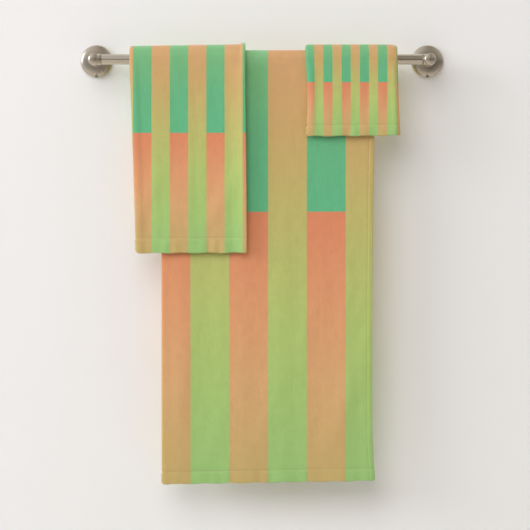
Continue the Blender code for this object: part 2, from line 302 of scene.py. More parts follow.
def ridges(settings, x, z):
    # Soft slanted creases: each is a bell across a straight line, fading out past its two ends.
    total = np.zeros(np.broadcast(x, z).shape)
    for startX, startZ, endX, endZ, width, height in settings["creases"]:
        length = math.hypot(endX - startX, endZ - startZ)
        dirX, dirZ = (endX - startX) / length, (endZ - startZ) / length
        alongLine = ((x - startX) * dirX + (z - startZ) * dirZ) / length
        offLine = (x - startX) * dirZ - (z - startZ) * dirX
        fade = smoothStep(alongLine, -0.35, 0.3) * (1 - smoothStep(alongLine, 0.7, 1.35))
        total += height * np.exp(-((offLine / width) ** 2)) * fade
    return total


def foldPlace(settings, share):
    # Where the fold's middle lies across the bar, for a share of the drop.
    inset = clothSettings["foldInset"]
    return sizes[settings["node"]]["left"] + threeKnots(settings["leftEdge"], share) + inset


def edgePlace(settings, share):
    # Where the loose edge lies across the bar, for a share of the drop, with the bottom corner swung out.
    size = sizes[settings["node"]]
    inset = clothSettings["edgeInset"] + threeKnots(settings["rightEdge"], share)
    flare = settings["bottomFlare"] * smoothStep(share, 0.90, 1.0)
    return size["left"] + size["width"] - inset + flare


def hangingRelief(settings, x, down, along, layer):
    # How far a hanging half stands out from plumb: the bath towel's own relief, then, on a towel that lies on
    # it, finer ripples and its own creases, and dents that differ from layer to layer.
    relief = underlay(x, down)
    if settings is not bathSettings:
        own = ripples(x, -down, settings["seed"], 0.55)
        relief = relief + settings["waves"] * smoothStep(down, 0.0, 0.12) * (1.0 + own)
        relief = relief + ridges(settings, x, -down) * np.where(along > 0, 1, 0.4)
    uneven = dents(x, -down, settings["seed"] + 1, clothSettings["dentSize"])
    return relief + clothSettings["dentHeight"] * layer * uneven


def middleSurface(settings, across, along):
    # Points of the middle of the cloth's thickness. Across is the signed distance from the lengthwise fold,
    # positive on the outer layer, and along is the signed distance from the crest, positive on the front. The
    # fold is a half circle that joins the two layers, and the drape is a half circle over the bar that joins
    # two hanging halves. Edge curves, relief, the bottom edge's lean and puckers and the loose edge's curl
    # are then added to that.
    size = sizes[settings["node"]]
    cloth = clothSettings
    foldRadius = size["foldRadius"]
    sideLength = settings["flat"][0] / 2
    turn = np.clip(across / foldRadius, -math.pi / 2, math.pi / 2)
    beyond = np.maximum(np.abs(across) - foldRadius * math.pi / 2, 0)
    beyond = np.where(across < 0, beyond * cloth["innerShare"], beyond)
    x = foldRadius * (1 - np.cos(turn)) + beyond
    height = settings["ply"] / 2 + foldRadius + foldRadius * np.sin(turn)

    angle = np.clip(along / size["crest"], -math.pi / 2, math.pi / 2)
    down = np.maximum(np.abs(along) - size["quarter"], 0)
    drop = np.where(along > 0, size["front"], size["back"])
    share = np.clip(down / drop, 0, 1)
    turnIn, turnWidth = settings["curl"]
    nearEdge = np.clip((across - sideLength + turnWidth) / turnWidth, 0, 1)
    curlGrows = np.where(turnIn > 0, 1, smoothStep(down, -0.012, 0.03))
    height = height - turnIn * nearEdge ** 2 * curlGrows
    left, right = foldPlace(settings, share), edgePlace(settings, share)
    worldX = left + (right - left) * x / (sideLength + foldRadius * (1 - math.pi / 2))
    acrossShare = np.clip((x + cloth["foldInset"]) / size["width"], 0, 1)

    corner = settings["cornerRise"] * smoothStep(acrossShare, 0.955, 0.985)
    rise = threeKnots(settings["crestRise"], acrossShare) + corner
    lift = rise * (1 - smoothStep(down, 0.0, cloth["crestFade"]))
    spread = size["inner"] + height + lift
    layer = np.sign(across) * smoothStep(np.abs(across), 0.01, 0.06)
    relief = hangingRelief(settings, worldX, down, along, layer)
    fromSide = np.minimum(worldX - left, right - worldX)
    puff = np.exp(-(((fromSide - cloth["puffPlace"]) / cloth["puffWidth"]) ** 2)) * (across > 0)
    relief = relief + settings["edgePuff"] * puff * smoothStep(down, 0.0, 0.02)
    hemNear = 1 - smoothStep(drop - down, 0.0, settings["hem"] * cloth["hemReach"])
    bunching = 2.0 * np.sin(worldX * 2 * math.pi / cloth["puckerDrift"])
    pucker = np.sin(worldX * 2 * math.pi / cloth["puckerLength"] + bunching)
    standOff = 0.0 if settings is bathSettings else cloth["hemStandOff"]
    relief = relief + hemNear * (standOff + cloth["puckerHeight"] * pucker)

    y = size["axisY"] - (spread + relief * np.abs(np.sin(angle))) * np.sin(angle)
    z = spread * np.cos(angle) - down
    z = z + settings["bottomRise"] * acrossShare * share ** 2
    hemWave = np.sin(worldX * 2 * math.pi / cloth["hemWaveLength"] + settings["seed"])
    z = z + cloth["hemWaveHeight"] * hemNear * hemWave
    bevel = np.clip(1 - fromSide / settings["cornerRound"], 0, 1)
    rounded = settings["cornerRound"] * (1 - np.sqrt(1 - bevel ** 2))
    z = z + rounded * (1 - smoothStep(drop - down, 0.0, settings["hem"]))
    return np.stack(np.broadcast_arrays(worldX, y, z), axis=-1)


def surfaceNormals(settings, across, along):
    # Outward unit normals of the middle surface: the cross product of its two slopes, by central differences.
    step = clothSettings["slopeStep"]
    after, before = (middleSurface(settings, across + move, along) for move in (step, -step))
    lower, upper = (middleSurface(settings, across, along + move) for move in (step, -step))
    normal = np.cross(lower - upper, after - before)
    return normal / np.maximum(np.linalg.norm(normal, axis=-1, keepdims=True), 1e-12)


def halfThickness(settings, across, along):
    # Half the cloth's thickness. Hems are thicker, a bell-shaped stitch line sinks into them, and every rim
    # is rounded to a half circle.
    size, cloth = sizes[settings["node"]], clothSettings
    endLength = size["quarter"] + np.where(along > 0, size["front"], size["back"])
    fromEnd = endLength - np.abs(along)
    fromSide = settings["flat"][0] / 2 - np.abs(across)
    hem, sideHem = settings["hem"], settings["sideHem"]
    half = np.full(np.broadcast(across, along).shape, settings["ply"] / 2)
    step, sideStep = cloth["hemEdge"], cloth["sideHemEdge"]
    half = half + cloth["hemExtra"] * (1 - smoothStep(fromEnd, hem - step, hem + step))
    half = half - cloth["hemGroove"] * np.exp(-((fromEnd - hem) / cloth["hemGrooveWidth"]) ** 2)
    half = half + cloth["sideHemExtra"] * (1 - smoothStep(fromSide, sideHem - sideStep, sideHem + sideStep))
    half = half - settings["sideGroove"] * np.exp(-((fromSide - sideHem) / cloth["sideGrooveWidth"]) ** 2)
    rim = np.clip(np.minimum(fromEnd, fromSide) / (settings["ply"] / 2), 0, 1)
    return half * np.sqrt(np.clip(1 - (1 - rim) ** 2, 0, 1))


def rimSteps(end, half):
    # Places that close up towards an end as a half circle's do, so a rim is evenly round.
    return end - half * (1 - np.sin(np.linspace(0, math.pi / 2, clothSettings["rimCount"])))


def spacedAcross(settings):
    # Where the columns lie: fine round the fold, at the side hems and at the rims, wider between.
    frontCount, foldCount, backCount = settings["columns"]
    foldEnd = math.pi / 2 * sizes[settings["node"]]["foldRadius"]
    sideLength = settings["flat"][0] / 2
    half = settings["ply"] / 2
    margin = clothSettings["marginAcross"]
    hem = settings["sideHem"]
    sewn = sideLength - np.linspace(hem + margin, half, clothSettings["hemColumns"], endpoint=False)
    rim = rimSteps(sideLength, half)
    plainEnd = sideLength - hem - margin
    outer = np.concatenate([np.linspace(foldEnd, plainEnd, frontCount, endpoint=False), sewn, rim])
    inner = np.concatenate([np.linspace(foldEnd, plainEnd, backCount, endpoint=False), sewn, rim])
    return np.concatenate([-inner[::-1], np.linspace(-foldEnd, foldEnd, foldCount)[1:-1], outer])


def spacedAlong(settings):
    # Where the rows lie: fine over the bar, at the hems and at the rims, wider between.
    size = sizes[settings["node"]]
    quarter, hem = size["quarter"], settings["hem"]
    half = settings["ply"] / 2
    margin = clothSettings["marginAlong"]
    rows = []
    for drop in (size["back"], size["front"]):
        end = quarter + drop
        sewn = end - np.linspace(hem + margin, half, clothSettings["hemRows"], endpoint=False)
        count = int(settings["rows"] * drop / (size["back"] + size["front"]))
        plain = np.linspace(quarter, end - hem - margin, count, endpoint=False)
        rows.append(np.concatenate([plain, sewn, rimSteps(end, half)]))
    overBar = np.linspace(-quarter, quarter, clothSettings["barRows"])[1:-1]
    return np.concatenate([-rows[0][::-1], overBar, rows[1]])


def gridFaces(columnCount, rowCount, first, flip):
    # Quads of a grid whose vertices start at index first, as an array of four indices each.
    index = first + np.arange(columnCount * rowCount).reshape(rowCount, columnCount)
    corners = [index[:-1, :-1], index[:-1, 1:], index[1:, 1:], index[1:, :-1]]
    quads = np.stack(corners, axis=-1).reshape(-1, 4)
    return quads[:, ::-1] if flip else quads


def smoothPiece(name, points, faces, materials):
    mesh = bpy.data.meshes.new(name)
    mesh.from_pydata(points.reshape(-1, 3).tolist(), [], faces)
    mesh.validate()
    mesh.update()
    mesh.shade_smooth()
    for material in materials:
        mesh.materials.append(material)
    return newObject(name, mesh)


def makeTowel(name, settings, printMaterial, reverseMaterial):
    # The cloth as a closed shell: its printed face and its reverse, each half a thickness off the middle.
    across, along = np.meshgrid(spacedAcross(settings), spacedAlong(settings))
    rowCount, columnCount = across.shape
    middle = middleSurface(settings, across, along)
    normal = surfaceNormals(settings, across, along)
    half = halfThickness(settings, across, along)[..., None]
    printed = middle + normal * half
    reverse = middle - normal * half
    points = np.concatenate([printed.reshape(-1, 3), reverse.reshape(-1, 3)])
    count = rowCount * columnCount
    inside = np.ones((rowCount, columnCount), bool)
    inside[0] = inside[-1] = inside[:, 0] = inside[:, -1] = False
    remap = np.arange(2 * count)
    remap[count:][~inside.ravel()] = np.arange(count)[~inside.ravel()]
    kept, renumbered = np.unique(remap, return_inverse=True)
    front = renumbered[gridFaces(columnCount, rowCount, 0, False)]
    back = renumbered[gridFaces(columnCount, rowCount, count, True)]
    faces = np.concatenate([front, back]).tolist()
    piece = smoothPiece(name, points[kept], faces, (printMaterial, reverseMaterial))

    mesh = piece.data
    slots = np.zeros(len(mesh.polygons), np.int32)
    slots[len(front):] = 1
    mesh.polygons.foreach_set("material_index", slots)
    # the print hangs plumb, so it is laid by the distance from one upright line, and turns back at the fold
    size = sizes[settings["node"]]
    drop = np.where(along > 0, size["front"], size["back"])
    share = np.clip((np.abs(along) - size["quarter"]) / drop, 0, 1)
    left = foldPlace(settings, share)
    lead = left - size["left"] - clothSettings["foldInset"]
    printX = lead + np.sign(across) * (middle[..., 0] - left)
    flatPlace = np.stack([np.tile(printX.ravel(), 2), np.abs(np.tile(along.ravel(), 2))], axis=-1)[kept]
    corners = np.empty(len(mesh.loops), np.int32)
    mesh.loops.foreach_get("vertex_index", corners)
    layer = mesh.uv_layers.new(name="clothPlace")
    layer.data.foreach_set("uv", flatPlace[corners].astype(np.float32).ravel())
    return piece


stitchSettings = {
    "length": 0.0027,
    "gap": 0.0009,
    "radius": 0.00032,
    "standOff": 0.6,  # how many radii its middle line stands off the cloth
    "endWidth": 0.02,  # the least share of its width, squared
    "endSink": 1.1,  # how many radii an end goes down into the cloth
    "foldMargin": 0.012,  # the row starts this far from the fold and ends this far from the side
    "sideMargin": 0.003,
    "rings": 5,
    "sides": 6,
}


def makeStitches(name, settings, material):
    # Rows of short rounded stitches along each hem: one capsule carried to each place on the seam.
    own, size = stitchSettings, sizes[settings["node"]]
    pitch = own["length"] + own["gap"]
    rowEnd = settings["flat"][0] / 2 - own["sideMargin"]
    places = []
    for layer in (1, -1):
        for end in (size["quarter"] + size["front"], -size["quarter"] - size["back"]):
            across = np.arange(own["foldMargin"], rowEnd, pitch) * layer
            seam = np.full_like(across, end - math.copysign(settings["hem"], end))
            places.append(np.stack([across, seam], axis=-1))
    places = np.concatenate(places)
    step = np.array([own["length"] / 2, 0])
    start, end = places - step, places + step
    mids = middleSurface(settings, places[:, 0], places[:, 1])
    normals = surfaceNormals(settings, places[:, 0], places[:, 1])
    half = halfThickness(settings, places[:, 0], places[:, 1])[:, None]
    tangents = middleSurface(settings, end[:, 0], end[:, 1])
    tangents -= middleSurface(settings, start[:, 0], start[:, 1])
    tangents /= np.linalg.norm(tangents, axis=1, keepdims=True)
    binormals = np.cross(tangents, normals)
    centres = mids + normals * (half + own["radius"] * own["standOff"])

    rings, sides, radius = own["rings"], own["sides"], own["radius"]
    t = np.linspace(-1, 1, rings)
    width = radius * np.sqrt(np.clip(1 - t ** 4, own["endWidth"], 1))
    sink = -radius * own["endSink"] * t ** 4
    turn = np.linspace(0, 2 * math.pi, sides, endpoint=False)
    alongStitch = (t * own["length"] / 2)[:, None] + 0 * turn
    sideways = width[:, None] * np.cos(turn)
    upward = width[:, None] * np.sin(turn) + sink[:, None]
    local = np.stack([alongStitch, sideways, upward], axis=-1).reshape(-1, 3)
    axes = np.stack([tangents, binormals, normals], axis=1)
    points = centres[:, None, :] + np.einsum("pk,nkd->npd", local, axes)

    ring = np.arange(rings * sides).reshape(rings, sides)
    after = np.roll(ring, -1, axis=1)
    walls = np.stack([ring[:-1], after[:-1], after[1:], ring[1:]], axis=-1).reshape(-1, 4)
    starts = (np.arange(len(places)) * rings * sides)[:, None, None]
    quads = (walls[None] + starts).reshape(-1, 4).tolist()
    caps = np.stack([ring[0][::-1], ring[-1]])
    ends = (caps[None] + starts).reshape(-1, sides).tolist()
    return smoothPiece(name, points, quads + ends, (material,))


# The print runs down each face from the crest: plain stripes shade from tan to green, and banded stripes
# go from green to teal, change sharply to coral, and shade to tan.
printColours = {
    "plain": (
        (0.0, "#d6a577"), (0.20, "#ccac72"), (0.37, "#c3ba74"),
        (0.60, "#b5c777"), (0.80, "#a8c978"), (1.0, "#9bc67c"),
    ),
    "upper": ((0.0, "#92c994"), (0.12, "#7cbb83"), (0.55, "#6bb888"), (1.0, "#66bb8b")),
    "lower": ((0.0, "#de8c68"), (0.35, "#df9f74"), (0.62, "#d8aa78"), (1.0, "#c4ae71")),
}


def clothRelief(tree, place, pileStrength):
    # Velour terry: loops about 0.8 mm across in rows 1.3 mm apart, drawn a little coarse to show, over the
    # soft upright dents about 16 mm wide and 33 mm tall that thick cloth keeps after folding.
    pile = addNode(tree, "TexNoise", {"Vector": place, "Scale": 950.0, "Detail": 2.0, "Roughness": 0.6})[0]
    tufts = addNode(tree, "TexVoronoi", {"Vector": place, "Scale": 520.0, "Randomness": 0.8})["Distance"]
    lean = {"Vector": place, "Rotation": (0, 0, 0.32), "Scale": (64.0, 30.0, 1.0)}
    leaning = addNode(tree, "Mapping", lean)[0]
    dent = addNode(tree, "TexNoise", {"Vector": leaning, "Scale": 1.0, "Detail": 1.5, "Roughness": 0.45})[0]
    soft = addNode(tree, "TexNoise", {"Vector": place, "Scale": 62.0, "Detail": 3.0, "Roughness": 0.55})[0]
    loops = addNode(tree, "Math", {0: tufts, 1: -0.45}, operation="MULTIPLY")[0]
    grain = addNode(tree, "Math", {0: pile, 1: 0.5, 2: loops}, operation="MULTIPLY_ADD")[0]
    beneath = {}
    for height, strength, depth in ((dent, 0.8, 0.0012), (soft, 0.5, 0.0007), (grain, pileStrength, 0.0007)):
        relief = {"Height": height, "Strength": strength, "Distance": depth}
        bump = addNode(tree, "Bump", relief | beneath)[0]
        beneath = {"Normal": bump}
    return bump, pile, soft


def printedVelour(name, settings):
    # Printed polyester velour over cotton terry: matt, soft at the rims, with painted shade where its pile
    # and dents sink.
    material, tree, shader, place = newMaterial(name, isCloth=True)
    size = sizes[settings["node"]]
    wobble = addNode(tree, "TexNoise", {"Vector": place, "Scale": 700.0, "Detail": 2.0})[0]
    # the dye creeps about 0.3 mm past each line
    creep = addNode(tree, "Math", {0: wobble, 1: 0.0011, 2: -0.00055}, operation="MULTIPLY_ADD")[0]
    crept = addNode(tree, "VectorMath", {0: place, 1: creep}, operation="ADD")[0]
    split = addNode(tree, "SeparateXYZ", {"Vector": crept})
    # stripes: half of each pair is even, counted from four pairs before the first line
    pair = 2 * settings["stripe"]
    count = {0: split["X"], 1: 1 / pair, 2: (8 * settings["stripe"] - settings["firstStripe"]) / pair}
    pairs = addNode(tree, "Math", count, operation="MULTIPLY_ADD")[0]
    cycle = addNode(tree, "Math", {0: pairs}, operation="FRACT")[0]
    isEven = addNode(tree, "Math", {0: cycle, 1: 0.5}, operation="LESS_THAN")[0]
    # bands: a share of the way from the crest to the front edge, with the sharp change at its own share
    drop = size["quarter"] + size["front"]
    switch = (size["quarter"] - settings["switchHeight"]) / drop
    share = addNode(tree, "Math", {0: split["Y"], 1: drop}, operation="DIVIDE")[0]
    above = addNode(tree, "MapRange", {"Value": share, "From Max": switch})[0]
    below = addNode(tree, "MapRange", {"Value": share, "From Min": switch})[0]
    isLower = addNode(tree, "Math", {0: share, 1: switch}, operation="GREATER_THAN")[0]
    plain = addNode(tree, "ValToRGB", {"Fac": share}, printColours["plain"])[0]
    upper = addNode(tree, "ValToRGB", {"Fac": above}, printColours["upper"])[0]
    lower = addNode(tree, "ValToRGB", {"Fac": below}, printColours["lower"])[0]
    banded = addNode(tree, "Mix", {"Factor": isLower, 6: upper, 7: lower}, data_type="RGBA")[2]
    even, odd = (banded, plain) if settings["firstIsPlain"] else (plain, banded)
    colour = addNode(tree, "Mix", {"Factor": isEven, 6: odd, 7: even}, data_type="RGBA")[2]
    bump, pile, soft = clothRelief(tree, place, 0.6)
    # painted shade: the colour darkens where the soft dents and the pile sink and lightens where they rise,
    # following their relief
    softShade = addNode(tree, "Math", {0: soft, 1: 0.10, 2: 0.87}, operation="MULTIPLY_ADD")[0]
    shade = addNode(tree, "Math", {0: pile, 1: 0.16, 2: softShade}, operation="MULTIPLY_ADD")[0]
    setInputs(tree, shader, {
        "Base Color": addNode(tree, "VectorMath", {0: colour, "Scale": shade}, operation="SCALE")[0],
        "Normal": bump,
        "Roughness": addNode(tree, "Math", {0: soft, 1: 0.12, 2: 0.80}, operation="MULTIPLY_ADD")[0],
        "IOR": 1.47,
        "Specular IOR Level": 0.25,
        "Sheen Weight": 0.18,
        "Sheen Roughness": 0.45,
    })
    return material


def cottonTerry(name, colour):
    # Undyed cotton terry on the reverse: uncut loops, so it is rougher to the eye than the printed face.
    material, tree, shader, place = newMaterial(name, isCloth=True)
    bump, pile, _ = clothRelief(tree, place, 0.9)
    # painted shade: the loops' colour turns grey where the pile sinks, between the loops
    shade = addNode(tree, "ValToRGB", {"Fac": pile}, ((0.25, "#d9d5cb"), (0.75, colour)))[0]
    look = {"Base Color": shade, "Normal": bump, "Roughness": 0.95, "IOR": 1.53, "Sheen Weight": 0.2}
    setInputs(tree, shader, look)
    return material


def polyesterThread(name, colour):
    # Spun polyester sewing thread: a slight gloss, its plies' twist of 0.5 mm drawn about 2 mm apart to show.
    material, tree, shader, place = newMaterial(name)
    plies = {"Vector": place, "Scale": 320.0, "Distortion": 1.5}
    twist = addNode(tree, "TexWave", plies, bands_direction="DIAGONAL")["Fac"]
    bump = addNode(tree, "Bump", {"Height": twist, "Strength": 0.4, "Distance": 0.0001})[0]
    shade = addNode(tree, "ValToRGB", {"Fac": twist}, ((0.0, colour), (1.0, "#e0d8b4")))[0]
    setInputs(tree, shader, {"Base Color": shade, "Normal": bump, "Roughness": 0.55})
    return material


sizes = {}
for towel in (bathSettings, handSettings, washSettings):
    sizes[towel["node"]] = towelSizes(towel)
terry = cottonTerry("cottonTerry", "#f3f0e8")
thread = polyesterThread("polyesterThread", "#cfc79a")
for name, towel in (("bathTowel", bathSettings), ("handTowel", handSettings), ("washCloth", washSettings)):
    velour = printedVelour(f"printedVelour{towel['node'].split('_')[0].title()}", towel)
    cloth = makeTowel(name, towel, velour, terry)
    stitches = makeStitches(f"{name}Stitches", towel, thread)
    for piece in (cloth, stitches):
        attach(piece, towel["node"])
    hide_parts(towel["node"])
    print(name, "made:", len(cloth.data.polygons), "faces")


# Rail. Every metal piece is turned, so it is a profile of (radius, height) carried round an axis.

sharpAngle = math.radians(35)  # an edge that bends more than this is drawn sharp


def roundCorner(centre, radius, start, end, count):
    # Points of a circle's arc about its centre, from one angle to another in degrees.
    angle = np.radians(np.linspace(start, end, count))
    return [(centre[0] + radius * math.cos(a), centre[1] + radius * math.sin(a)) for a in angle]


def turned(profile, centre, direction, steps=96):
    # A closed profile of (radius, height) turned about an axis: each point goes round a circle of its radius.
    profile = np.array(profile, float)
    axis = Vector(direction).normalized()
    side = axis.orthogonal().normalized()
    other = axis.cross(side)
    angle = np.linspace(0, 2 * math.pi, steps, endpoint=False)
    spokes = np.cos(angle)[:, None] * np.array(side) + np.sin(angle)[:, None] * np.array(other)
    outward = profile[:, 0][:, None, None] * spokes[None]
    points = np.array(centre) + outward + profile[:, 1][:, None, None] * np.array(axis)
    index = np.arange(len(profile) * steps).reshape(len(profile), steps)
    nextRow = np.roll(index, -1, axis=0)
    quads = np.stack([index, np.roll(index, -1, axis=1), np.roll(nextRow, -1, axis=1), nextRow], axis=-1)
    onAxis = profile[:, 0] < 1e-9
    quads = quads[~(onAxis & np.roll(onAxis, -1))].reshape(-1, 4)
    return points.reshape(-1, 3), quads.tolist()


def slotShape(radius, length, centre, depth, steps=40):
    # A round-ended slot's outline, two half circles a length apart, carried from one height to another.
    angle = np.linspace(0, 2 * math.pi, steps, endpoint=False)
    moved = length * (np.sin(angle) < 0)
    outline = np.stack([radius * np.cos(angle), radius * np.sin(angle) - moved], axis=-1)
    heights = np.array([-depth, depth])
    ring = np.concatenate([np.tile(outline, (2, 1)), np.repeat(heights, steps)[:, None]], axis=-1)
    low, high = np.arange(steps), np.arange(steps) + steps
    walls = np.stack([low, np.roll(low, -1), np.roll(high, -1), high], axis=-1)
    return ring + np.array(centre), [*walls.tolist(), low[::-1].tolist(), high.tolist()]


def metalPiece(name, parts, material):
    # Joins closed parts into one piece, merges the points of each pole, turns the faces outwards and shades
    # the round ones smooth.
    shape = bmesh.new()
    for points, faces in parts:
        part = bpy.data.meshes.new("part")
        part.from_pydata(points.tolist(), [], faces)
        shape.from_mesh(part)
        bpy.data.meshes.remove(part)
    bmesh.ops.remove_doubles(shape, verts=shape.verts, dist=1e-7)
    bmesh.ops.recalc_face_normals(shape, faces=shape.faces)
    mesh = bpy.data.meshes.new(name)
    shape.to_mesh(mesh)
    shape.free()
    mesh.shade_smooth()
    mesh.set_sharp_from_angle(angle=sharpAngle)
    mesh.materials.append(material)
    return newObject(name, mesh)


def drilled(piece, drill):
    # A drilled hole can't be written as one grid, so the drill's shape is cut out of the piece.
    modifier = piece.modifiers.new("hole", "BOOLEAN")
    modifier.operation = "DIFFERENCE"
    modifier.solver = "EXACT"
    modifier.object = drill
    graph = bpy.context.evaluated_depsgraph_get()
    made = bpy.data.meshes.new_from_object(piece.evaluated_get(graph))
    piece.modifiers.clear()
    piece.data = made
    bpy.data.objects.remove(drill)
    made.set_sharp_from_angle(angle=sharpAngle)


def brushedNickel(name, smoothest, centreX=None):
    # Brushed nickel plate on brass: a warm grey satin, with fine lines left by the wheel, along the bar and
    # in rings on the turned ends. They are 0.1 mm apart on such plate and drawn about 0.9 mm apart to show.
    material, tree, shader, place = newMaterial(name)
    brushed, fineness = place, (9.0, 1100.0, 1100.0)
    if centreX is not None:
        centred = addNode(tree, "Mapping", {"Vector": place, "Location": (-centreX, 0, 0)})[0]
        split = addNode(tree, "SeparateXYZ", {"Vector": centred})
        flattened = addNode(tree, "CombineXYZ", {"X": split["X"], "Y": split["Z"]})[0]
        radius = addNode(tree, "VectorMath", {0: flattened}, operation="LENGTH")["Value"]
        brushed = addNode(tree, "CombineXYZ", {"X": radius, "Y": split["Y"]})[0]
        fineness = (1100.0, 1100.0, 0.0)
    stretched = addNode(tree, "VectorMath", {0: brushed, 1: fineness}, operation="MULTIPLY")[0]
    strokes = {"Vector": stretched, "Scale": 1.0, "Detail": 3.0, "Roughness": 0.65}
    lines = addNode(tree, "TexNoise", strokes)[0]
    clouds = addNode(tree, "TexNoise", {"Vector": place, "Scale": 38.0, "Detail": 3.0})[0]
    shade = addNode(tree, "ValToRGB", {"Fac": lines}, ((0.30, "#c0b6a8"), (0.70, "#d1c8bb")))[0]
    tones = {"Factor": clouds, 6: shade, 7: linear("#c7bcab")}
    setInputs(tree, shader, {
        "Base Color": addNode(tree, "Mix", tones, data_type="RGBA")[2],
        "Roughness": addNode(tree, "Math", {0: clouds, 1: 0.12, 2: smoothest}, operation="MULTIPLY_ADD")[0],
        "Normal": addNode(tree, "Bump", {"Height": lines, "Strength": 0.10, "Distance": 0.0001})[0],
        "Metallic": 1.0,
    })
    return material


def zincPlate(name):
    # Zinc-plated steel: bluish bright grey with a faint crystal mottle about 2 mm across.
    material, tree, shader, place = newMaterial(name)
    cells = addNode(tree, "TexVoronoi", {"Vector": place, "Scale": 420.0})["Distance"]
    shade = addNode(tree, "ValToRGB", {"Fac": cells}, ((0.0, "#b3b6ba"), (0.6, "#bfc2c5")))[0]
    roughness = addNode(tree, "Math", {0: cells, 1: 0.2, 2: 0.32}, operation="MULTIPLY_ADD")[0]
    setInputs(tree, shader, {"Base Color": shade, "Roughness": roughness, "Metallic": 1.0})
    return material


def mouldedNylon(name):
    # Moulded grey nylon: a waxy half gloss with the mould's fine spark texture, about 1 mm across.
    material, tree, shader, place = newMaterial(name)
    grain = addNode(tree, "TexNoise", {"Vector": place, "Scale": 900.0, "Detail": 2.0})[0]
    shade = addNode(tree, "ValToRGB", {"Fac": grain}, ((0.3, "#9a9da0"), (0.7, "#aaadaf")))[0]
    bump = addNode(tree, "Bump", {"Height": grain, "Strength": 0.2, "Distance": 0.0001})[0]
    setInputs(tree, shader, {"Base Color": shade, "Normal": bump, "Roughness": 0.48, "IOR": 1.53})
    return material


barSettings = {"wall": 0.0012, "edgeBreak": 0.0003, "steps": 128}


def makeBar(material):
    # A tube: the wall's section, with its outer rims broken by a small radius, turned about the bar's axis.
    low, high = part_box("bar_tube")
    radius = (high.z - low.z) / 2
    inner = radius - barSettings["wall"]
    half = (high.x - low.x) / 2
    soft = barSettings["edgeBreak"]
    profile = [
        (inner, -half),
        *roundCorner((radius - soft, -half + soft), soft, -90, 0, 4),
        *roundCorner((radius - soft, half - soft), soft, 0, 90, 4),
        (inner, half),
    ]
    tube = turned(profile, (0, (low.y + high.y) / 2, 0), (1, 0, 0), barSettings["steps"])
    piece = metalPiece("barTube", [tube], material)
    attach(piece, "bar")
    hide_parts("bar_tube")


barEndSettings = {"gap": 0.0003, "collar": 0.0012, "collarRound": 0.00045, "spigotRadius": 0.0060}


def makeBarEnd(side, sign, material):
    # The bar's end: a plug inside the tube, a thin rounded collar that shows and a spigot in the post. All
    # three are one profile, turned about the bar's axis.
    own = barEndSettings
    low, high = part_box(f"bar_plug_{side}")
    tubeLow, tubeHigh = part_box("bar_tube")
    collar = (high.z - low.z) / 2
    innerEnd, outerEnd = (low.x, high.x) if sign > 0 else (-high.x, -low.x)
    base = tubeHigh.x + own["gap"]
    shoulder = base + own["collar"]
    plug = (tubeHigh.z - tubeLow.z) / 2 - barSettings["wall"] - own["gap"]
    spigot = own["spigotRadius"]
    soft = own["collarRound"]
    profile = [
        (0, innerEnd),
        (plug, innerEnd),
        (plug, base),
        *roundCorner((collar - soft, base + soft), soft, -90, 0, 4),
        *roundCorner((collar - soft, shoulder - soft), soft, 0, 90, 4),
        (spigot, shoulder),
        (spigot, outerEnd),
        (0, outerEnd),
    ]
    end = turned(profile, (0, (low.y + high.y) / 2, 0), (sign, 0, 0))
    piece = metalPiece(f"barEnd{side.title()}", [end], material)
    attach(piece, "bar")
    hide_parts(f"bar_plug_{side}")


postSettings = {
    "domeHeight": 0.0045,
    "edgeBreak": 0.0004,
    "screwBore": 0.0026,
    "screwDepth": 0.0128,
    "socketWall": 0.0008,
    "socketRim": 0.0006,
    "socketBore": 0.0063,
    "socketDepth": 0.0088,
}


def makePost(side, sign, material):
    # A round post, turned about the line out from the wall with a dome on its front, and its socket boss,
    # turned about the bar's axis with the spigot's bore. The boss's inner end is buried in the post.
    own = postSettings
    low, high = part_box(f"post_{side}")
    barLow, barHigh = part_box("bar_tube")
    radius = (high.z - low.z) / 2
    centreX = high.x - radius if sign > 0 else low.x + radius
    base, front = -high.y, -low.y
    domeStart = front - own["domeHeight"]
    soft, bore = own["edgeBreak"], own["screwBore"]
    angle = np.linspace(0, math.pi / 2, 20)
    dome = [(radius * math.cos(a), domeStart + own["domeHeight"] * math.sin(a)) for a in angle[:-1]]
    profile = [
        (bore, base),
        *roundCorner((radius - soft, base + soft), soft, -90, 0, 4),
        *dome,
        (0, front),
        (0, base + own["screwDepth"]),
        (bore, base + own["screwDepth"]),
    ]
    body = turned(profile, (centreX, 0, 0), (0, -1, 0))
    reach = abs((low.x if sign > 0 else high.x) - centreX)
    outer = (barHigh.z - barLow.z) / 2 + own["socketWall"]
    rim, socket = own["socketRim"], own["socketBore"]
    bottom = reach - own["socketDepth"]
    bossProfile = [
        (0, 0),
        (outer, 0),
        *roundCorner((outer - rim, reach - rim), rim, 0, 90, 6),
        (socket, reach),
        (socket, bottom),
        (0, bottom),
    ]
    boss = turned(bossProfile, (centreX, (barLow.y + barHigh.y) / 2, 0), (-sign, 0, 0))
    post = metalPiece(f"post{side.title()}", [body, boss], material)
    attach(post, "wall_fixings")
    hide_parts(f"post_{side}")


flangeSettings = {
    "wall": 0.0015,
    "rimHeight": 0.0060,
    "seatMargin": 0.0010,
    "screwBore": 0.0026,
    "edgeBreak": 0.0003,
    "notchRadius": 0.0026,
    "notchReach": 0.0027,  # how far the hex key's notch runs forward of the grub screw
    "notchDepth": 0.006,
    "steps": 144,
}


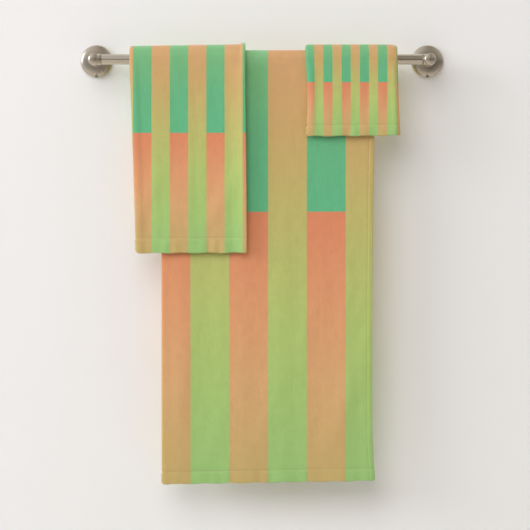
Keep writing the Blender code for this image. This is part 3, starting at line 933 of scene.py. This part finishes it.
def makeFlange(side, material):
    # The wall flange: a straight rim, then a quarter ellipse that domes up to the post's flat seat, turned
    # about the line out from the wall. Its inside is the same ellipse a wall thickness smaller.
    own = flangeSettings
    low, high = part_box(f"flange_{side}")
    postLow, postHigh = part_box(f"post_{side}")
    radius = (high.z - low.z) / 2
    depth = -low.y
    seat = (postHigh.z - postLow.z) / 2 + own["seatMargin"]
    wall, rim, bore = own["wall"], own["rimHeight"], own["screwBore"]
    angle = np.linspace(0, math.pi / 2, 26)
    outside = [(seat + (radius - seat) * math.cos(a), rim + (depth - rim) * math.sin(a)) for a in angle]
    inside = [
        (seat + (radius - wall - seat) * math.cos(a), rim + (depth - wall - rim) * math.sin(a))
        for a in angle[::-1]
    ]
    soft = own["edgeBreak"]
    profile = [
        (radius - wall, 0),
        *roundCorner((radius - soft, soft), soft, -90, 0, 3),
        *outside,
        (bore, depth),
        (bore, depth - wall),
        *inside,
    ]
    centreX = (low.x + high.x) / 2
    shell = turned(profile, (centreX, 0, 0), (0, -1, 0), own["steps"])
    flange = metalPiece(f"flange{side.title()}", [shell], material)
    grubLow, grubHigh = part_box(f"grub_screw_{side}")
    notchPlace = (centreX, (grubLow.y + grubHigh.y) / 2, -radius)
    notch = slotShape(own["notchRadius"], own["notchReach"], notchPlace, own["notchDepth"])
    drilled(flange, metalPiece("notch", [notch], material))
    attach(flange, "wall_fixings")
    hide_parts(f"flange_{side}")


fasteners = ("bracket", "wall_screw", "post_screw", "grub_screw", "wall_anchor")
nickelBar = brushedNickel("brushedNickelBar", 0.14)
zinc = zincPlate("zincPlate")
nylon = mouldedNylon("mouldedNylon")
makeBar(nickelBar)
for side, sign in (("left", -1), ("right", 1)):
    flangeLow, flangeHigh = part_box(f"flange_{side}")
    nickelEnd = brushedNickel(f"brushedNickelEnd{side.title()}", 0.23, (flangeLow.x + flangeHigh.x) / 2)
    makeBarEnd(side, sign, nickelBar)
    makePost(side, sign, nickelEnd)
    makeFlange(side, nickelEnd)
    for nodeName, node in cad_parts.items():
        if side in nodeName and nodeName.startswith(fasteners):
            finish, slotName = zinc, "zinc"
            if nodeName.startswith("wall_anchor"):
                finish, slotName = nylon, "nylon"
            if nodeName.startswith("grub_screw"):
                finish, slotName = nickelEnd, "nickel"
            node.data.materials.clear()
            node.data.materials.append(finish)
print("rail made")


# Room: a pale wall and floor, soft daylight from the upper left and a camera square to the wall.

roomSettings = {
    "wallColour": "#f4f5f8",
    "floorColour": "#d4d0c8",
    "wallSize": (3.4, 2.9),
    "wallGap": 0.0002,
    "floorHeight": -1.35,
    "lamps": {
        "key": dict(place=(-5.2, -2.6, 1.4), size=3.0, power=116.0, colour="#fafbff", mirrored=True),
        "fill": dict(place=(-1.0, -3.9, 2.0), size=3.4, power=72.0, colour="#fffaf4", mirrored=False),
        "back": dict(place=(1.2, 2.6, 1.2), size=2.0, power=50.0, colour="#fff8f0", mirrored=True),
    },
    "lampAim": (0, -0.05, -0.35),
    # how bright the room is from its window side, at the left, to its far side
    "room": (
        (0.0, "#d4d5d8"), (0.36, "#c9c9ca"), (0.43, "#c6c2bb"), (0.50, "#aea9a2"),
        (0.56, "#7e7872"), (0.63, "#96918a"), (0.75, "#b5b0a9"), (1.0, "#b5b0a9"),
    ),
    # and from the floor, past the dark far wall at eye level, up to the ceiling
    "roomHeight": (
        (0.0, "#c0c0c0"), (0.30, "#dcdcdc"), (0.43, "#e8e8e8"), (0.49, "#707070"),
        (0.54, "#707070"), (0.60, "#ffffff"), (1.0, "#ffffff"),
    ),
    "roomStrength": 1.25,
}


def paintedPlaster(name, colour, oneSided):
    # Matt painted plaster with a stipple about 4 mm across. The wall is seen from the room only, so that the
    # back of the set can be looked at.
    material, tree, shader, place = newMaterial(name)
    stipple = addNode(tree, "TexNoise", {"Vector": place, "Scale": 260.0, "Detail": 3.0})[0]
    bump = addNode(tree, "Bump", {"Height": stipple, "Strength": 0.03, "Distance": 0.0005})[0]
    setInputs(tree, shader, {"Base Color": linear(colour), "Roughness": 0.9, "Normal": bump})
    if oneSided:
        facing = addNode(tree, "NewGeometry")["Backfacing"]
        clear = addNode(tree, "BsdfTransparent")[0]
        mix = addNode(tree, "MixShader", {0: facing, 1: shader.outputs[0], 2: clear})[0]
        setInputs(tree, tree.nodes["Material Output"], {"Surface": mix})
    return material


def makePlane(name, corners, material):
    mesh = bpy.data.meshes.new(name)
    mesh.from_pydata(corners, [], [(0, 1, 2, 3)])
    mesh.materials.append(material)
    piece = newObject(name, mesh)
    return piece


def makeRoom():
    width, height = roomSettings["wallSize"]
    floor, y = roomSettings["floorHeight"], roomSettings["wallGap"]
    half, top = width / 2, floor + height
    paint = paintedPlaster("wallPaint", roomSettings["wallColour"], True)
    wall = makePlane("wall", [(-half, y, floor), (half, y, floor), (half, y, top), (-half, y, top)], paint)
    wall.visible_shadow = False
    makePlane(
        "floor",
        [(-width, -width, floor), (width, -width, floor), (width, width, floor), (-width, width, floor)],
        paintedPlaster("floorPaint", roomSettings["floorColour"], False),
    )


def makeSoftbox(name, lamp):
    light = bpy.data.lights.new(name, "AREA")
    light.shape = "DISK"
    light.size = lamp["size"]
    light.energy = lamp["power"]
    light.color = linear(lamp["colour"])[:3]
    softbox = newObject(name, light)
    softbox.location = lamp["place"]
    aim = Vector(roomSettings["lampAim"]) - Vector(lamp["place"])
    softbox.rotation_euler = aim.to_track_quat("-Z", "Y").to_euler()
    softbox.visible_camera = False
    softbox.visible_glossy = lamp["mirrored"]


def makeLight():
    # The back lamp stands behind the wall, which casts no shade, and only shows the set's back in views from
    # there. The fill lamp stands for light off the ceiling, so the metal doesn't mirror it.
    for name, lamp in roomSettings["lamps"].items():
        makeSoftbox(f"{name}Light", lamp)
    # The room's glow is its brightness across times its brightness upwards, each read from a ramp.
    world = bpy.data.worlds.new("paleRoom")
    world.use_nodes = True
    tree = world.node_tree
    toward = addNode(tree, "TexCoord")["Generated"]
    halves = {0: toward, 1: (0.5, 0.5, 0.5), 2: (0.5, 0.5, 0.5)}
    shares = addNode(tree, "VectorMath", halves, operation="MULTIPLY_ADD")[0]
    split = addNode(tree, "SeparateXYZ", {"Vector": shares})
    acrossRoom = addNode(tree, "ValToRGB", {"Fac": split["X"]}, roomSettings["room"])[0]
    upRoom = addNode(tree, "ValToRGB", {"Fac": split["Z"]}, roomSettings["roomHeight"])[0]
    glow = addNode(tree, "VectorMath", {0: acrossRoom, 1: upRoom}, operation="MULTIPLY")[0]
    setInputs(tree, tree.nodes["Background"], {"Color": glow, "Strength": roomSettings["roomStrength"]})
    bpy.context.scene.world = world
    bpy.context.scene.view_settings.view_transform = "Standard"


cameraSettings = {
    "distance": 4.4,
    "height": -0.235,
    "aimX": 0.0054,
    "aimZ": -0.3699,
    "spanAtWall": 0.965,
    "sensor": 36.0,
}


def makeCamera():
    own = cameraSettings
    camera = bpy.data.cameras.new("camera")
    camera.sensor_width = own["sensor"]
    camera.lens = own["sensor"] * own["distance"] / own["spanAtWall"]
    viewer = newObject("camera", camera)
    viewer.location = (own["aimX"], -own["distance"], own["height"])
    aim = Vector((own["aimX"], 0, own["aimZ"]))
    viewer.rotation_euler = (aim - viewer.location).to_track_quat("-Z", "Y").to_euler()
    bpy.context.scene.camera = viewer


makeRoom()
makeLight()
makeCamera()
print("room made")
